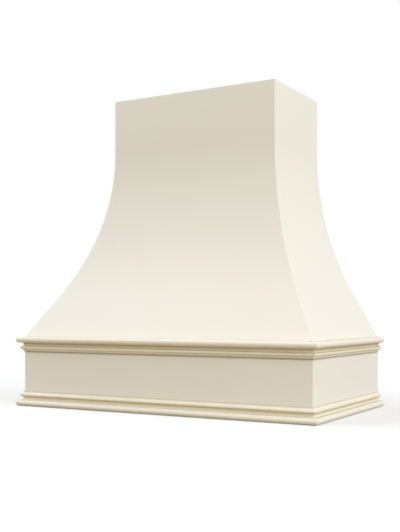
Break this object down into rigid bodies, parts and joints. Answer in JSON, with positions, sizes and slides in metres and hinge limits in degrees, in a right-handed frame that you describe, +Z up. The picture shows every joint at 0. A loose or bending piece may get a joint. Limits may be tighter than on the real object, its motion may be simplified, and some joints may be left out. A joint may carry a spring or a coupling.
{
  "type": "range hood cover",
  "caption": "Painted wooden wall cover for a kitchen extractor: straight chimney, flared body with mitred hips, and a plain apron between two mouldings, open at the back, top and bottom.",
  "frame": {"origin": "under the middle of the whole cover, at the height of the bottom rim", "axes": "+Z up, +Y towards the wall, -Y to the front, +X to the right seen from the front"},
  "size_m": [0.9524, 0.5144, 0.9144],
  "materials": {
    "painted_wood": "satin",
    "plywood": "matte",
    "frame_timber": "matte"
  },
  "bodies": {
    "root": {"skin_front": "painted_wood", "apron_front": "painted_wood", "upper_moulding_front": "painted_wood", "lower_moulding_front": "painted_wood", "skin_left": "painted_wood", "apron_left": "painted_wood", "upper_moulding_left": "painted_wood", "lower_moulding_left": "painted_wood", "skin_right": "painted_wood", "apron_right": "painted_wood", "upper_moulding_right": "painted_wood", "lower_moulding_right": "painted_wood", "front_rib_left": "plywood", "front_rib_centre": "plywood", "front_rib_right": "plywood", "left_rib_wall": "plywood", "left_rib_middle": "plywood", "right_rib_wall": "plywood", "right_rib_middle": "plywood", "hip_rib_left": "plywood", "hip_rib_right": "plywood", "front_jack_rib_left": "plywood", "front_jack_rib_right": "plywood", "left_jack_rib": "plywood", "right_jack_rib": "plywood", "top_rail_front": "frame_timber", "base_rail_front": "frame_timber", "liner_ledge_front": "frame_timber", "top_rail_left": "frame_timber", "base_rail_left": "frame_timber", "liner_ledge_left": "frame_timber", "top_rail_right": "frame_timber", "base_rail_right": "frame_timber", "liner_ledge_right": "frame_timber", "top_rail_back": "frame_timber", "base_rail_back": "frame_timber", "liner_ledge_back": "frame_timber", "apron_post_front_left": "frame_timber", "apron_post_front_right": "frame_timber", "apron_post_wall_left": "frame_timber", "apron_post_wall_right": "frame_timber", "wall_nailer_upper": "frame_timber", "wall_nailer_lower": "frame_timber"}
  },
  "joints": []
}
